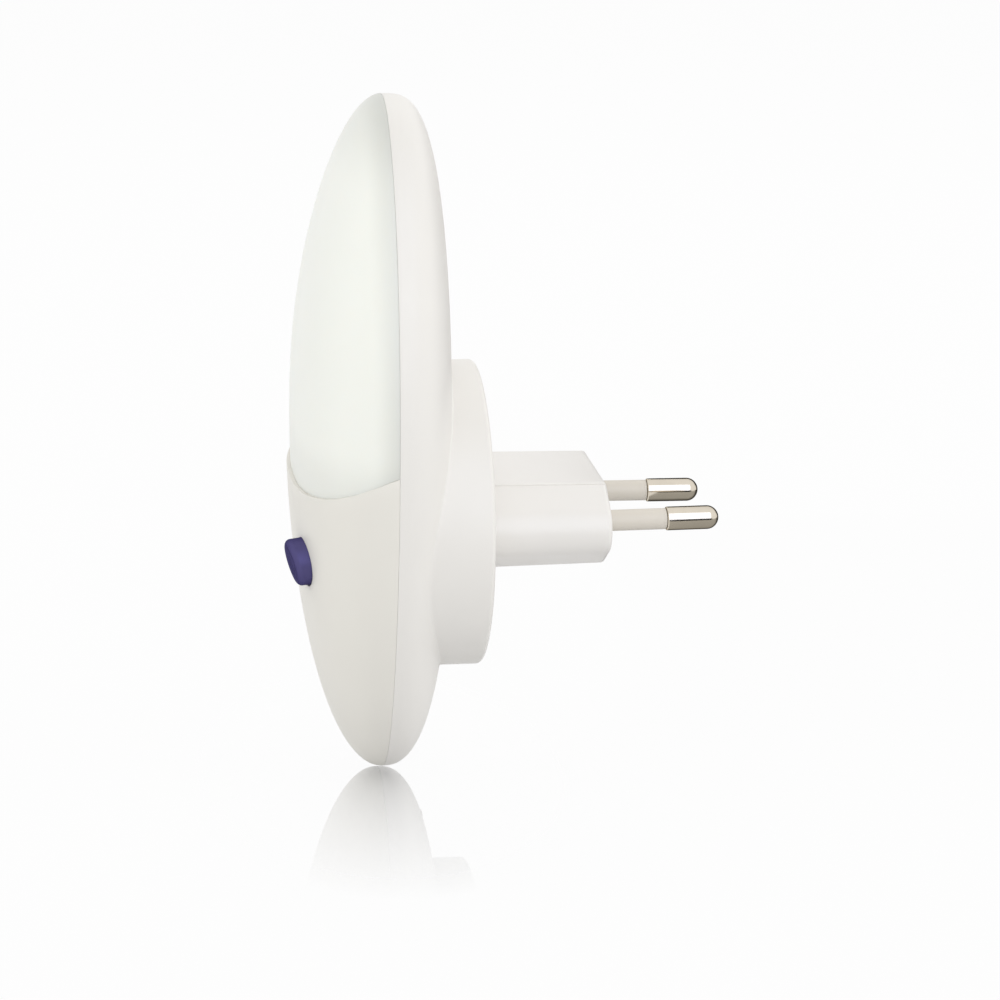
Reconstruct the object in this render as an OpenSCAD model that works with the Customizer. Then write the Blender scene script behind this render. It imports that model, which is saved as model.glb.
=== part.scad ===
// Plug in night light: egg-shaped housing with a round rear boss, a flat two-pin plug and a push button.
// Frame: +X points from the housing along the plug into the wall socket, the front faces -X, +Z is up.
// The origin is the centre of the boss's rear face, where it meets the wall, on the axis of the plug.

/* [Egg outline] */
// Half of the housing's greatest width
half_width = 29; // [27.5:0.5:31]
// Height of the widest level above the plug axis
widest_level = 16.2; // [13:0.2:18]
// Height of the top above the widest level
top_rise = 54.4; // [53:0.2:60]
// Depth of the bottom below the widest level
bottom_drop = 60.8; // [60:0.2:66]
// Distance from the wall to the seam between the front and the back
seam_depth = 16.1; // [15.6:0.1:17]

/* [Front dome] */
// Depth of the front dome in front of the seam
dome_depth = 14.9; // [14.4:0.05:16]
// Exponent of the dome's curve towards its sides
dome_side_power = 2.5; // [2.3:0.1:3]
// Exponent of the dome's curve towards its top
dome_top_power = 1.8; // [1.7:0.05:2.2]
// Exponent of the dome's curve towards its bottom
dome_bottom_power = 2.0; // [1.9:0.05:2.3]
// How far the front cover stands proud of the diffuser
cover_proud = 0.68; // [0.4:0.02:0.8]

/* [Back shell] */
// Depth of the back shell behind the seam
back_depth = 11.1; // [10.9:0.1:11.8]
// Exponent of the back's curve towards its sides
back_side_power = 2.6; // [2.4:0.1:3]
// Exponent of the back's curve towards its top
back_top_power = 3.4; // [3.1:0.05:3.6]
// Exponent of the back's curve towards its bottom
back_bottom_power = 2.5; // [2.3:0.05:2.8]
// Loss of back depth for each millimetre of height
back_lean = 0.0015; // [0:0.0005:0.002]

/* [Walls] */
// Wall thickness of the diffuser, the cover and the back shell
wall = 2.0; // [1.6:0.1:2.2]
// Open line between the front pieces and the back shell
seam_gap = 0.05; // [0.05:0.05:0.2]

/* [Diffuser edge] */
// Height of the diffuser's lower edge at the centre line
edge_level = 7.1; // [6:0.1:8]
// How far that edge rises towards the sides
edge_rise = 6.3; // [5:0.1:7]
// Exponent of the edge's rise
edge_power = 2.5; // [2:0.1:4]
// Open line between the diffuser and the cover
edge_gap = 0.14; // [0.1:0.02:0.3]
// Length of the tongue that slips behind the cover
tongue_length = 2.5; // [1.5:0.1:3]
// Thickness of the tongue
tongue_thickness = 1.2; // [1:0.1:1.4]
// Clearance between the tongue and the cover
tongue_clearance = 0.12; // [0.05:0.01:0.3]

/* [Rear boss] */
// Radius of the round boss that meets the wall
boss_radius = 25.75; // [25:0.25:27]
// Height of the boss's centre above the plug axis
boss_level = -0.4; // [-0.6:0.1:0]
// Radius of the boss's rounded rear rim
boss_rim = 0.8; // [0.6:0.1:1.6]
// Wall thickness of the boss's side
boss_wall = 2.2; // [1.8:0.1:2.6]
// Thickness of the boss's rear floor
boss_floor = 2.4; // [2:0.1:3]

/* [Plug] */
// Length of the plug body beyond the wall face
plug_length = 20.6; // [20.2:0.1:21.6]
// Width of the plug body at its end
plug_width = 35.3; // [35:0.1:36]
// Height of the plug body at its end
plug_height = 14; // [13.4:0.1:14.4]
// Width of the flat on its top and bottom
plug_flat = 21.5; // [19:0.5:22.5]
// Rounding of the corners beside those flats
plug_corner = 1.4; // [1:0.1:2]
// Rounding of the plug body's two sides
plug_side_round = 4.6; // [3:0.1:5]
// Growth of the section on each side at the wall face
plug_draft = 0.25; // [0.1:0.05:0.4]
// Rounding of the plug body's end
plug_end_round = 0.8; // [0.4:0.1:1]
// Wall thickness of the hollow plug body
plug_wall = 2.2; // [1.8:0.1:2.6]
// Thickness of the plug body's end wall
plug_end_wall = 5; // [4:0.1:5.5]
// How far the inner flange reaches past the plug body
flange_reach = 2.2; // [1.5:0.1:2.4]
// Thickness of the inner flange
flange_thickness = 1.6; // [1.2:0.1:2]

/* [Contact pins] */
// Diameter of the bare contact
pin_diameter = 4; // [3.94:0.01:4.06]
// Length of a pin beyond the plug body
pin_length = 19.5; // [18.8:0.1:19.7]
// Distance between the pins where they leave the plug body
pin_base_spacing = 18.6; // [18:0.1:19.2]
// Distance between the tips of the pins
pin_tip_spacing = 17.5; // [17:0.1:18]
// Length of the insulating sleeve beyond the plug body
sleeve_length = 10.5; // [9.8:0.1:10.8]
// Outer diameter of the insulating sleeve
sleeve_diameter = 3.56; // [3.4:0.02:3.7]
// Diameter of the pin's core under the sleeve
core_diameter = 2.8; // [2.6:0.1:3]
// Depth to which the sleeve is seated in the plug body
sleeve_seat = 1.5; // [1:0.1:2.5]
// Radius of the pin's inner head
head_radius = 2.4; // [2:0.1:2.8]
// Thickness of the pin's inner head
head_thickness = 1.4; // [1:0.1:2]
// Radius of the pin's soldering tail
tail_radius = 1; // [0.8:0.1:1.2]
// Length of the soldering tail
tail_length = 4.6; // [4:0.1:6]
// Thickness of the plate that holds the pin heads
retainer_thickness = 2.6; // [2:0.1:3.2]
// Clearance of pieces pressed or slipped into each other
fit_clearance = 0.05; // [0.02:0.01:0.1]

/* [Leads] */
// Diameter of the insulated lead wires
lead_diameter = 1.6; // [1.2:0.1:1.8]

/* [Circuit board] */
// Half of the board's width
board_half_width = 17; // [16.5:0.5:18]
// Height of the board's top edge
board_top = 50; // [49:0.5:51]
// Height of the board's bottom edge
board_bottom = -26; // [-26.5:0.5:-25]
// Thickness of the board
board_thickness = 1.6; // [1.2:0.1:1.8]
// Distance of the board's front face behind the seam
board_setback = 0.9; // [0.6:0.1:1.4]
// Corner radius of the board
board_corner = 3; // [1:0.5:4]
// Distance of the board's screws from its edges
board_screw_edge = 3.75; // [3.5:0.25:4.5]
// Radius of the posts that carry the board
post_radius = 2.6; // [2.3:0.1:3]

/* [Screws] */
// Shank radius of the board screws
board_screw_radius = 1.1; // [0.9:0.05:1.2]
// Head radius of the board screws
board_screw_head = 2; // [1.8:0.1:2.2]
// Thickness of the board screws' heads
board_screw_head_height = 1.3; // [1:0.1:1.5]
// Length of the board screws' shanks
board_screw_length = 5.6; // [5:0.1:6]
// Height of the case screw, below the plug axis
case_screw_level = -33; // [-34:0.5:-32]
// Shank radius of the case screw
case_screw_radius = 1.3; // [1.1:0.05:1.4]
// Head radius of the case screw
case_screw_head = 2.7; // [2.4:0.1:2.9]
// Thickness of the case screw's head
case_screw_head_height = 1.8; // [1.5:0.1:2.2]
// Length of the case screw's shank
case_screw_length = 9; // [8:0.1:10]
// Wall of the cover's post round the case screw
case_post_wall = 1.7; // [1.4:0.1:2]
// Radial clearance of the case screw's hole in the back shell
case_hole_clearance = 0.3; // [0.2:0.05:0.4]
// Distance of the case screw's seat behind the seam
case_seat_depth = 4.6; // [4:0.1:5]
// Distance of the joint of the two case posts behind the seam
case_joint_depth = 2; // [1.5:0.1:2.5]

/* [Reflector] */
// Thickness of the reflector plate
reflector_thickness = 1.2; // [1:0.1:1.6]
// Height of the wall that closes the light chamber from below
chamber_level = 11; // [10.6:0.1:12]
// Clearance of the reflector inside the diffuser
reflector_clearance = 0.4; // [0.3:0.05:0.8]

/* [Light sources] */
// Radius of a light-emitting diode's lens
led_radius = 2.5; // [2.3:0.1:2.6]
// Height of its lens above its flange
led_height = 7.6; // [6.5:0.1:8.5]
// Radius of its flange
led_flange = 2.9; // [2.7:0.1:3]
// Sideways distance of the light sources from the centre line
led_offset = 8; // [6.5:0.5:9]
// Height of the lower pair of light sources
led_low_level = 22; // [20:0.5:24]
// Height of the upper pair of light sources
led_high_level = 38; // [34:0.5:39]

/* [Push button] */
// Sideways place of the button
button_y = -11.7; // [-12.5:0.1:-10.5]
// Height of the button
button_z = -4.95; // [-5.6:0.05:-4.2]
// Sideways tilt of the button's axis
button_yaw = 9.5; // [8:0.5:11]
// Downward tilt of the button's axis
button_pitch = 6; // [4:0.5:8]
// Radius of the button's cap
button_radius = 4.05; // [3.9:0.05:4.3]
// How far the cap stands out of the cover
button_height = 2.55; // [2.3:0.05:2.8]
// Loss of the cap's radius from the cover to its top
button_taper = 0.05; // [0:0.05:0.2]
// Tilt of the cap's face below the button's axis
button_face_tilt = 8; // [4:0.5:9]
// Rise of the middle of the cap's crowned face
button_crown = 0.3; // [0.1:0.05:0.5]
// Rounding of the cap's rim
button_rim = 0.9; // [0.6:0.05:1.1]
// Travel of the button
button_travel = 1; // [0.8:0.1:1.2]
// Clearance round the cap
button_clearance = 0.3; // [0.25:0.05:0.4]
// Depth of the seat on which the cap's flange rests
button_seat = 2.9; // [2.8:0.1:3.2]
// How far the cap's flange reaches past the cap
button_flange_reach = 1.2; // [0.8:0.1:1.3]
// Thickness of the cap's flange
button_flange = 1; // [0.8:0.1:1.2]
// Length of the tube that guides the flange
guide_length = 3; // [2.6:0.1:3.2]
// Depth below the skin at which that tube starts
guide_start = 1.5; // [1.2:0.1:1.8]
// Wall thickness of that tube
guide_wall = 1.2; // [1:0.1:1.4]
// Radius of the cap's stem
stem_radius = 1.8; // [1.6:0.1:2]
// Length of the cap's stem
stem_length = 2.8; // [2.6:0.1:3.2]

/* [Switch] */
// Width of the square switch
switch_width = 7; // [6.5:0.1:7.4]
// Height of the switch body
switch_height = 4; // [3.8:0.1:4.2]
// Radius of the switch's plunger
plunger_radius = 1.5; // [1.3:0.1:1.6]
// Height of the plunger above the switch body at rest
plunger_rise = 1.4; // [1.3:0.1:1.8]
// Length of the plunger inside the switch body at rest
plunger_depth = 1.5; // [1.2:0.1:1.6]
// Radial running clearance of the plunger
plunger_clearance = 0.06; // [0.03:0.01:0.1]

/* [Components] */
// Width of the mains capacitor
mains_capacitor_width = 16; // [14:0.5:17]
// Height of the mains capacitor off the board
mains_capacitor_height = 9.6; // [9:0.1:10]
// Thickness of the mains capacitor
mains_capacitor_thickness = 7; // [6:0.1:7.5]
// Height of its middle, below the plug axis
mains_capacitor_level = -16.6; // [-17:0.1:-16]
// Diameter of the smoothing capacitor
smoothing_diameter = 8; // [6.3:0.1:8]
// Length of the smoothing capacitor
smoothing_length = 11.5; // [9:0.1:12]
// Sideways place of the smoothing capacitor
smoothing_y = 11.4; // [11.2:0.1:11.8]
// Height of its middle, below the plug axis
smoothing_level = -8; // [-9:0.1:-7.5]
// Diameter of the fuse resistor
fuse_diameter = 3.4; // [3:0.1:3.6]
// Length of the fuse resistor
fuse_length = 9; // [8:0.1:10]
// Sideways place of the fuse resistor
fuse_y = -2.6; // [-2.9:0.1:-2.3]
// Height of the middle of the fuse resistor and the rectifier, below the plug axis
power_level = -18.5; // [-19:0.1:-18]
// Diameter of the small resistors
resistor_diameter = 2.3; // [2:0.1:2.5]
// Length of the small resistors
resistor_length = 6.2; // [5:0.1:6.6]
// Sideways place of the first small resistor
resistor_y = -7.4; // [-7.6:0.1:-7.2]
// Distance between the small resistors
resistor_spacing = 3.6; // [3.2:0.1:4]
// Height of their middle, below the plug axis
resistor_level = -15; // [-15.4:0.1:-14.6]
// Diameter of the components' wire legs
leg_diameter = 0.6; // [0.5:0.05:0.8]
// Length of the bridge rectifier
rectifier_length = 8; // [7:0.1:8.6]
// Width of the bridge rectifier
rectifier_width = 6.2; // [5:0.1:6.6]
// Height of the bridge rectifier
rectifier_height = 2.6; // [2.2:0.1:3]
// Sideways place of the rectifier and the chip
package_y = 3.5; // [3.2:0.1:3.6]
// Length of the controller chip
chip_length = 5; // [4.6:0.1:5.4]
// Width of the controller chip
chip_width = 3.9; // [3.5:0.1:4.2]
// Height of the controller chip
chip_height = 1.5; // [1.2:0.1:1.8]
// Height of its middle, below the plug axis
chip_level = -9; // [-10:0.1:-8]
// Length of the legs beyond a lying component's ends
leg_reach = 1.6; // [1.4:0.1:1.7]

/* [Hidden] */

// Fineness of the shells: columns across a front piece, rows up it, and the same for the back bowl
columns = 36;
rows = 14;
bowl_columns = 60;
bowl_rings = 12;
arc_steps = 6;

// How far a cutter reaches past the skin that it opens
cut_reach = 4;

seam_x = -seam_depth;
front_x = seam_x - seam_gap;
board_front_x = seam_x + board_setback;
board_rear_x = board_front_x + board_thickness;
boss_inner_radius = boss_radius - boss_wall;
boss_start_x = board_rear_x + 1;
cavity_floor_x = plug_length - plug_end_wall;
flange_front_x = -boss_floor - flange_thickness;
pin_lean = atan((pin_base_spacing - pin_tip_spacing) / 2 / pin_length);
head_top = -plug_end_wall - 2 * fit_clearance;
tail_end = head_top - head_thickness - tail_length;
tongue_inset = wall + tongue_clearance;
tongue_inner_inset = tongue_inset + tongue_thickness;
inner_inset = tongue_inner_inset + reflector_clearance;
case_seat_x = seam_x + case_seat_depth;
case_joint_x = seam_x + case_joint_depth;
button_x = front_x - dome_rise(button_y, button_z, 0, dome_depth + cover_proud);
flange_top = -button_seat - fit_clearance;
stem_top = flange_top - button_flange;
plunger_top = stem_top - stem_length;
switch_top = plunger_top - plunger_rise;
switch_bottom = switch_top - switch_height;

// Height of the outline's half above or below its widest level
function half_height(z) = z >= widest_level ? top_rise : bottom_drop;

// Square of the place between the dome's axis, 0, and its outline, 1
function egg_square(y, z, inset) =
    pow(y / (half_width - inset), 2) + pow((z - widest_level) / (half_height(z) - inset), 2);

// Half width of the outline at a height
function egg_half_width(z, inset) =
    (half_width - inset) * sqrt(max(0, 1 - pow((z - widest_level) / (half_height(z) - inset), 2)));

// Share of the sideways part in the direction of a point from the dome's axis
function sideways(y, inset, square) = square > 0 ? pow(y / (half_width - inset), 2) / square : 1;

// Rise of a domed skin over the seam plane: full at the axis and none at the outline
function domed(square, depth, power) = depth * pow(max(0, 1 - pow(square, power / 2)), 1 / power);

// Rise of the front dome
function dome_rise(y, z, inset, depth) =
    let(
        square = egg_square(y, z, inset),
        side = sideways(y, inset, square),
        upright = z >= widest_level ? dome_top_power : dome_bottom_power
    )
    domed(square, depth, dome_side_power * side + upright * (1 - side));

// Height of the diffuser's lower edge in a column at this angle across the front
function edge_height(angle) = edge_level + edge_rise * pow(abs(angle) / 90, edge_power);

// Tip of a front piece: the outline's top for the diffuser and its bottom for the cover
function tip_height(up, inset) = widest_level + up * ((up > 0 ? top_rise : bottom_drop) - inset);

// A point of a front piece. A row is [share of the way from the tip to the edge, step past the edge,
// inset, how far it stands proud]
function front_point(up, row, angle) =
    let(
        tip = tip_height(up, row[2]),
        z = tip + (edge_height(angle) + row[1] - tip) * (1 - cos(90 * row[0])),
        y = egg_half_width(z, row[2]) * sin(angle)
    )
    [front_x - dome_rise(y, z, row[2], dome_depth + row[3] - row[2]), y, z];

// Reverses the turning sense of a face where asked
function turned(face, flip) = flip ? [for (i = [len(face) - 1 : -1 : 0]) face[i]] : face;

// A closed front piece from matching rows on its outer and inner skins, each skin starting at its tip
module front_piece(up, outer, inner) {
    count = len(outer);
    side = columns + 1;
    base = 2;
    under = base + count * side;
    tips = [
        [front_x, 0, tip_height(up, outer[0][2])],
        [front_x, 0, tip_height(up, inner[0][2])]
    ];
    skins = [
        for (row = concat(outer, inner), i = [0 : columns])
            front_point(up, row, -90 + 180 * i / columns)
    ];
    fans = [
        for (i = [0 : columns - 1])
            each [[0, base + i, base + i + 1], [1, under + i + 1, under + i]]
    ];
    quads = [
        for (r = [0 : count - 2], i = [0 : columns - 1])
            let(a = base + r * side + i, b = under + r * side + i)
            each [[a, a + side, a + side + 1, a + 1], [b, b + 1, b + side + 1, b + side]]
    ];
    last = (count - 1) * side;
    edge = [
        for (i = [0 : columns - 1])
            [base + last + i, under + last + i, under + last + i + 1, base + last + i + 1]
    ];
    ends = [
        for (r = [0 : count - 2])
            let(a = base + r * side, b = under + r * side)
            each [[b, b + side, a + side, a],
                [b + columns, a + columns, a + side + columns, b + side + columns]]
    ];
    caps = [[0, 1, under, base], [0, base + columns, under + columns, 1]];
    faces = concat(fans, quads, edge, ends, caps);
    polyhedron(concat(tips, skins), [for (f = faces) turned(f, up < 0)]);
}

// The bowl of the back shell's skin: a ring at a share of the way from the seam to the middle
function bowl_point(share, turn, inset) =
    let(
        across = cos(turn),
        rise = sin(turn),
        upright = rise >= 0 ? back_top_power : back_bottom_power,
        power = back_side_power * across * across + upright * rise * rise,
        angle = 90 * pow(share, 1.2),
        spread = pow(cos(angle), 2 / power),
        y = (half_width - inset) * spread * across,
        z = widest_level + ((rise >= 0 ? top_rise : bottom_drop) - inset) * spread * rise,
        depth = (back_depth - inset) * pow(sin(angle), 2 / power)
    )
    [seam_x + depth * (1 - back_lean * (z - widest_level / 2)), y, z];

// The back shell's closed bowl
module bowl() {
    side = bowl_columns;
    turns = [for (i = [0 : side - 1]) 360 * i / side];
    outer = [for (r = [0 : bowl_rings - 1], t = turns) bowl_point(r / bowl_rings, t, 0)];
    inner = [for (r = [0 : bowl_rings - 1], t = turns) bowl_point(r / bowl_rings, t, wall)];
    under = side * bowl_rings;
    middle = 2 * under;
    quads = [
        for (r = [0 : bowl_rings - 2], i = [0 : side - 1])
            let(a = r * side + i, b = r * side + (i + 1) % side)
            each [[a, b, b + side, a + side],
                [under + a, under + a + side, under + b + side, under + b]]
    ];
    last = (bowl_rings - 1) * side;
    rim = [
        for (i = [0 : side - 1])
            let(j = (i + 1) % side)
            [i, under + i, under + j, j]
    ];
    fans = [
        for (i = [0 : side - 1])
            let(j = (i + 1) % side)
            each [[last + i, last + j, middle], [under + last + j, under + last + i, middle + 1]]
    ];
    points = concat(outer, inner, [bowl_point(1, 0, 0), bowl_point(1, 0, wall)]);
    polyhedron(points, [for (f = concat(quads, rim, fans)) turned(f, true)]);
}

// Turns the local +Z to the frame's +X
module along_x(x, y, z) {
    translate([x, y, z]) rotate([0, 90, 0]) children();
}

// Puts local +Z along a pin, pointing out of the plug, with local zero at the plug body's end
module on_pin(side) {
    translate([plug_length, side * pin_base_spacing / 2, 0])
        rotate([0, 0, -side * pin_lean])
            rotate([0, 90, 0])
                children();
}

// Puts local +Z along the button's axis, pointing out, with local zero at the cover's surface
module on_button() {
    translate([button_x, button_y, button_z])
        rotate([0, -90 - button_pitch, button_yaw])
            children();
}

// A point at a distance from a centre, at an angle above +Y
function around(centre, radius, angle) = centre + radius * [cos(angle), sin(angle)];

// First quarter of the plug's six-sided section: half of the round side, then the corner above it
function plug_quarter() =
    let(
        side = [plug_width / 2 - plug_side_round, 0],
        corner = [plug_flat / 2 - plug_corner / 2, plug_height / 2 - plug_corner],
        span = side - corner,
        slant = acos((plug_corner - plug_side_round) / norm(span)) - atan2(-span[1], span[0])
    )
    concat(
        [for (i = [0 : 3]) around(side, plug_side_round, slant * (i + 0.5) / 3.5)],
        [for (i = [0 : 3]) around(corner, plug_corner, slant + (90 - slant) * i / 3)]
    );

// The plug's section, in Y and Z, grown on every side
module plug_section(growth) {
    quarter = plug_quarter();
    count = len(quarter) - 1;
    offset(delta = growth)
        polygon(concat(
            quarter,
            [for (i = [count : -1 : 0]) [-quarter[i][0], quarter[i][1]]],
            [for (p = quarter) -p],
            [for (i = [count : -1 : 0]) [quarter[i][0], -quarter[i][1]]]
        ));
}

// A slab of the plug's section from one X to another
module plug_slab(from_x, to_x, growth) {
    translate([from_x, 0, 0])
        rotate([90, 0, 90])
            linear_extrude(to_x - from_x)
                plug_section(growth);
}

// A rounded rectangle in Y and Z between two heights, extruded in X
module board_blank(from_x, thickness, half, low, high, corner) {
    translate([from_x, 0, 0])
        rotate([90, 0, 90])
            linear_extrude(thickness)
                offset(r = corner, $fn = 24)
                    translate([-half + corner, low + corner])
                        square([2 * half - 2 * corner, high - low - 2 * corner]);
}

// Places of the four board screws in Y and Z
board_screws_at = [
    for (z = [board_bottom + board_screw_edge, board_top - board_screw_edge], side = [-1, 1])
        [side * (board_half_width - board_screw_edge), z]
];

module diffuser() {
    shoulder_height = 2;
    steps = [for (i = [1 : rows - 1]) i / rows];
    outer = concat(
        [for (f = steps) [f, 0, 0, 0]],
        [[1, shoulder_height, 0, 0], [1, 0, 0, 0], [1, 0, tongue_inset, cover_proud],
            [1, -tongue_length, tongue_inset, cover_proud]]
    );
    inner = concat(
        [for (f = steps) [f, 0, wall, 0]],
        [[1, shoulder_height, wall, 0], [1, shoulder_height / 2, tongue_inner_inset, cover_proud],
            [1, 0, tongue_inner_inset, cover_proud], [1, -tongue_length, tongue_inner_inset, cover_proud]]
    );
    color([0.95, 0.96, 0.93]) front_piece(1, outer, inner);
}

// Depth of the middle of the cover's wall at a height on the centre line
function cover_middle(z) = front_x - dome_rise(0, z, wall / 2, dome_depth + cover_proud - wall / 2);

module front_cover() {
    steps = [for (i = [1 : rows - 1]) i / rows];
    outer = concat([for (f = steps) [f, 0, 0, cover_proud]], [[1, -edge_gap, 0, cover_proud]]);
    inner = concat([for (f = steps) [f, 0, wall, cover_proud]], [[1, -edge_gap, wall, cover_proud]]);
    post = case_screw_radius + case_post_wall;
    post_front_x = cover_middle(case_screw_level - post);
    root = post * 0.6;
    root_level = case_screw_level + post - root;
    guide_radius = button_radius + button_flange_reach + button_clearance;
    color([0.9, 0.89, 0.87])
        difference() {
            union() {
                front_piece(-1, outer, inner);
                along_x(post_front_x, 0, case_screw_level)
                    cylinder(r = post, h = case_joint_x - fit_clearance - post_front_x, $fn = 48);
                along_x(cover_middle(root_level - root), 0, root_level)
                    cylinder(r = root, h = wall, $fn = 48);
                on_button()
                    translate([0, 0, -button_seat - guide_length])
                        cylinder(
                            r = guide_radius + guide_wall,
                            h = guide_length + button_seat - guide_start,
                            $fn = 64
                        );
            }
            along_x(post_front_x + wall, 0, case_screw_level)
                cylinder(r = case_screw_radius + fit_clearance, h = case_joint_x - post_front_x, $fn = 48);
            on_button() {
                translate([0, 0, -button_seat - guide_length - 1])
                    cylinder(r = guide_radius, h = guide_length + 1, $fn = 64);
                translate([0, 0, -button_seat - 1])
                    cylinder(r = button_radius + button_clearance, h = button_seat + cut_reach, $fn = 64);
            }
        }
}

// Profile of the solid boss: a disc with a rounded rear rim, turned about the plug axis
module boss_blank() {
    length = -boss_start_x;
    rim = [
        for (i = [0 : arc_steps])
            let(a = 90 * i / arc_steps)
            [boss_radius - boss_rim + boss_rim * cos(a), length - boss_rim + boss_rim * sin(a)]
    ];
    along_x(boss_start_x, 0, boss_level)
        rotate_extrude($fn = 120)
            polygon(concat([[0, 0], [boss_radius, 0]], rim, [[0, length]]));
}

module back_shell() {
    case_post = case_screw_head + fit_clearance * 2 + 1.2;
    color([0.93, 0.92, 0.91])
        difference() {
            union() {
                bowl();
                boss_blank();
                for (p = board_screws_at)
                    along_x(board_rear_x, p[0], p[1])
                        cylinder(r = post_radius, h = post_depth(p), $fn = 40);
                along_x(case_joint_x, 0, case_screw_level)
                    cylinder(r = case_post, h = case_seat_depth - case_joint_depth + 1.4, $fn = 48);
            }
            along_x(seam_x, 0, boss_level)
                cylinder(r = boss_inner_radius, h = seam_depth - boss_floor, $fn = 120);
            plug_slab(-boss_floor - 1, 1, plug_draft + 2 * fit_clearance);
            for (p = board_screws_at)
                along_x(board_rear_x - 1, p[0], p[1])
                    cylinder(r = board_screw_radius + fit_clearance, h = board_screw_length, $fn = 32);
            along_x(seam_x, 0, case_screw_level)
                cylinder(r = case_screw_radius + case_hole_clearance, h = seam_depth, $fn = 32);
            along_x(case_seat_x, 0, case_screw_level)
                cylinder(r = case_screw_head + 2 * fit_clearance, h = seam_depth, $fn = 48);
        }
}

// Length of a board post from the board to the middle of the back shell's wall
function post_depth(p) = back_rise(p[0], p[1]) + seam_x - board_rear_x;

// Depth of the middle of the back shell's wall behind the seam at a place
function back_rise(y, z) =
    let(
        inset = wall / 2,
        square = egg_square(y, z, inset),
        side = sideways(y, inset, square),
        upright = z >= widest_level ? back_top_power : back_bottom_power,
        power = back_side_power * side + upright * (1 - side)
    )
    domed(square, back_depth - inset, power) * (1 - back_lean * (z - widest_level / 2));

module plug_body() {
    color([0.93, 0.93, 0.92])
        difference() {
            union() {
                hull() {
                    plug_slab(flange_front_x, 0, plug_draft);
                    plug_slab(plug_length - plug_end_round - 0.01, plug_length - plug_end_round, 0);
                    plug_slab(plug_length - plug_end_round * 0.3, plug_length - plug_end_round * 0.29,
                        -plug_end_round * 0.3);
                    plug_slab(plug_length - 0.01, plug_length, -plug_end_round);
                }
                plug_slab(flange_front_x, -boss_floor - fit_clearance, flange_reach);
            }
            plug_slab(flange_front_x - 1, cavity_floor_x, -plug_wall);
            for (side = [-1, 1])
                on_pin(side) {
                    translate([0, 0, -plug_end_wall - 1])
                        cylinder(d = core_diameter + 2 * fit_clearance, h = plug_end_wall + 2, $fn = 48);
                    translate([0, 0, -sleeve_seat])
                        cylinder(d = sleeve_diameter + 2 * fit_clearance, h = sleeve_seat + 1, $fn = 48);
                }
        }
}

module pin_retainer() {
    top_x = plug_length + head_top - head_thickness - 2 * fit_clearance;
    color([0.85, 0.84, 0.8])
        difference() {
            plug_slab(top_x - retainer_thickness, top_x, -plug_wall - fit_clearance);
            for (side = [-1, 1])
                on_pin(side)
                    translate([0, 0, tail_end])
                        cylinder(r = tail_radius + 0.3, h = tail_length + 1, $fn = 32);
        }
}

// A contact pin turned from rod: rounded bare tip, thin core, inner head and soldering tail
module contact_pin(side) {
    tip = pin_diameter / 2;
    core = core_diameter / 2;
    nose = [for (i = [0 : 12]) [tip * cos(90 * i / 12), pin_length - tip + tip * sin(90 * i / 12)]];
    outline = concat(
        [[0, tail_end], [tail_radius, tail_end], [tail_radius, head_top - head_thickness],
            [head_radius, head_top - head_thickness], [head_radius, head_top], [core, head_top],
            [core, sleeve_length], [tip, sleeve_length]],
        nose
    );
    color([0.8, 0.77, 0.7])
        on_pin(side)
            rotate_extrude($fn = 64)
                polygon(outline);
}

module live_pin() {
    contact_pin(-1);
}

module neutral_pin() {
    contact_pin(1);
}

module pin_sleeve(side) {
    whole_length = sleeve_length + sleeve_seat;
    color([0.88, 0.87, 0.85])
        on_pin(side)
            difference() {
                translate([0, 0, -sleeve_seat + fit_clearance])
                    cylinder(d = sleeve_diameter, h = whole_length - 2 * fit_clearance, $fn = 64);
                translate([0, 0, -sleeve_seat - 1])
                    cylinder(d = core_diameter + 2 * fit_clearance, h = whole_length + 2, $fn = 48);
            }
}

module live_pin_sleeve() {
    pin_sleeve(-1);
}

module neutral_pin_sleeve() {
    pin_sleeve(1);
}

// Route of a lead from its pin's tail through the plug body to the board, for the side at +Y
lead_start_x = plug_length + tail_end - fit_clearance;
lead_start_y = pin_base_spacing / 2 - tail_end * tan(pin_lean);
lead_route = [
    [lead_start_x, lead_start_y, 0],
    [lead_start_x - 3, lead_start_y, 0],
    [lead_start_x / 3, lead_start_y - 0.4, 0.6],
    [flange_front_x + 1, lead_start_y - 0.8, 2.2],
    [flange_front_x - 2, lead_start_y - 1, 5],
    [board_rear_x + 4, lead_start_y - 1, 7.4],
    [board_rear_x + 1.6, lead_start_y - 1, 8],
    [board_rear_x + fit_clearance, lead_start_y - 1, 8]
];

// A point on the smooth curve through a route, at a place counted in its points
function route_point(route, u) =
    let(
        last = len(route) - 1,
        i = min(floor(u), last - 1),
        t = u - i,
        a = route[max(i - 1, 0)],
        b = route[i],
        c = route[i + 1],
        d = route[min(i + 2, last)]
    )
    b + (c - a) * t / 2 + (2 * a - 5 * b + 4 * c - d) * t * t / 2 + (3 * b - a - 3 * c + d) * t * t * t / 2;

function unit(v) = v / norm(v);

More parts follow.
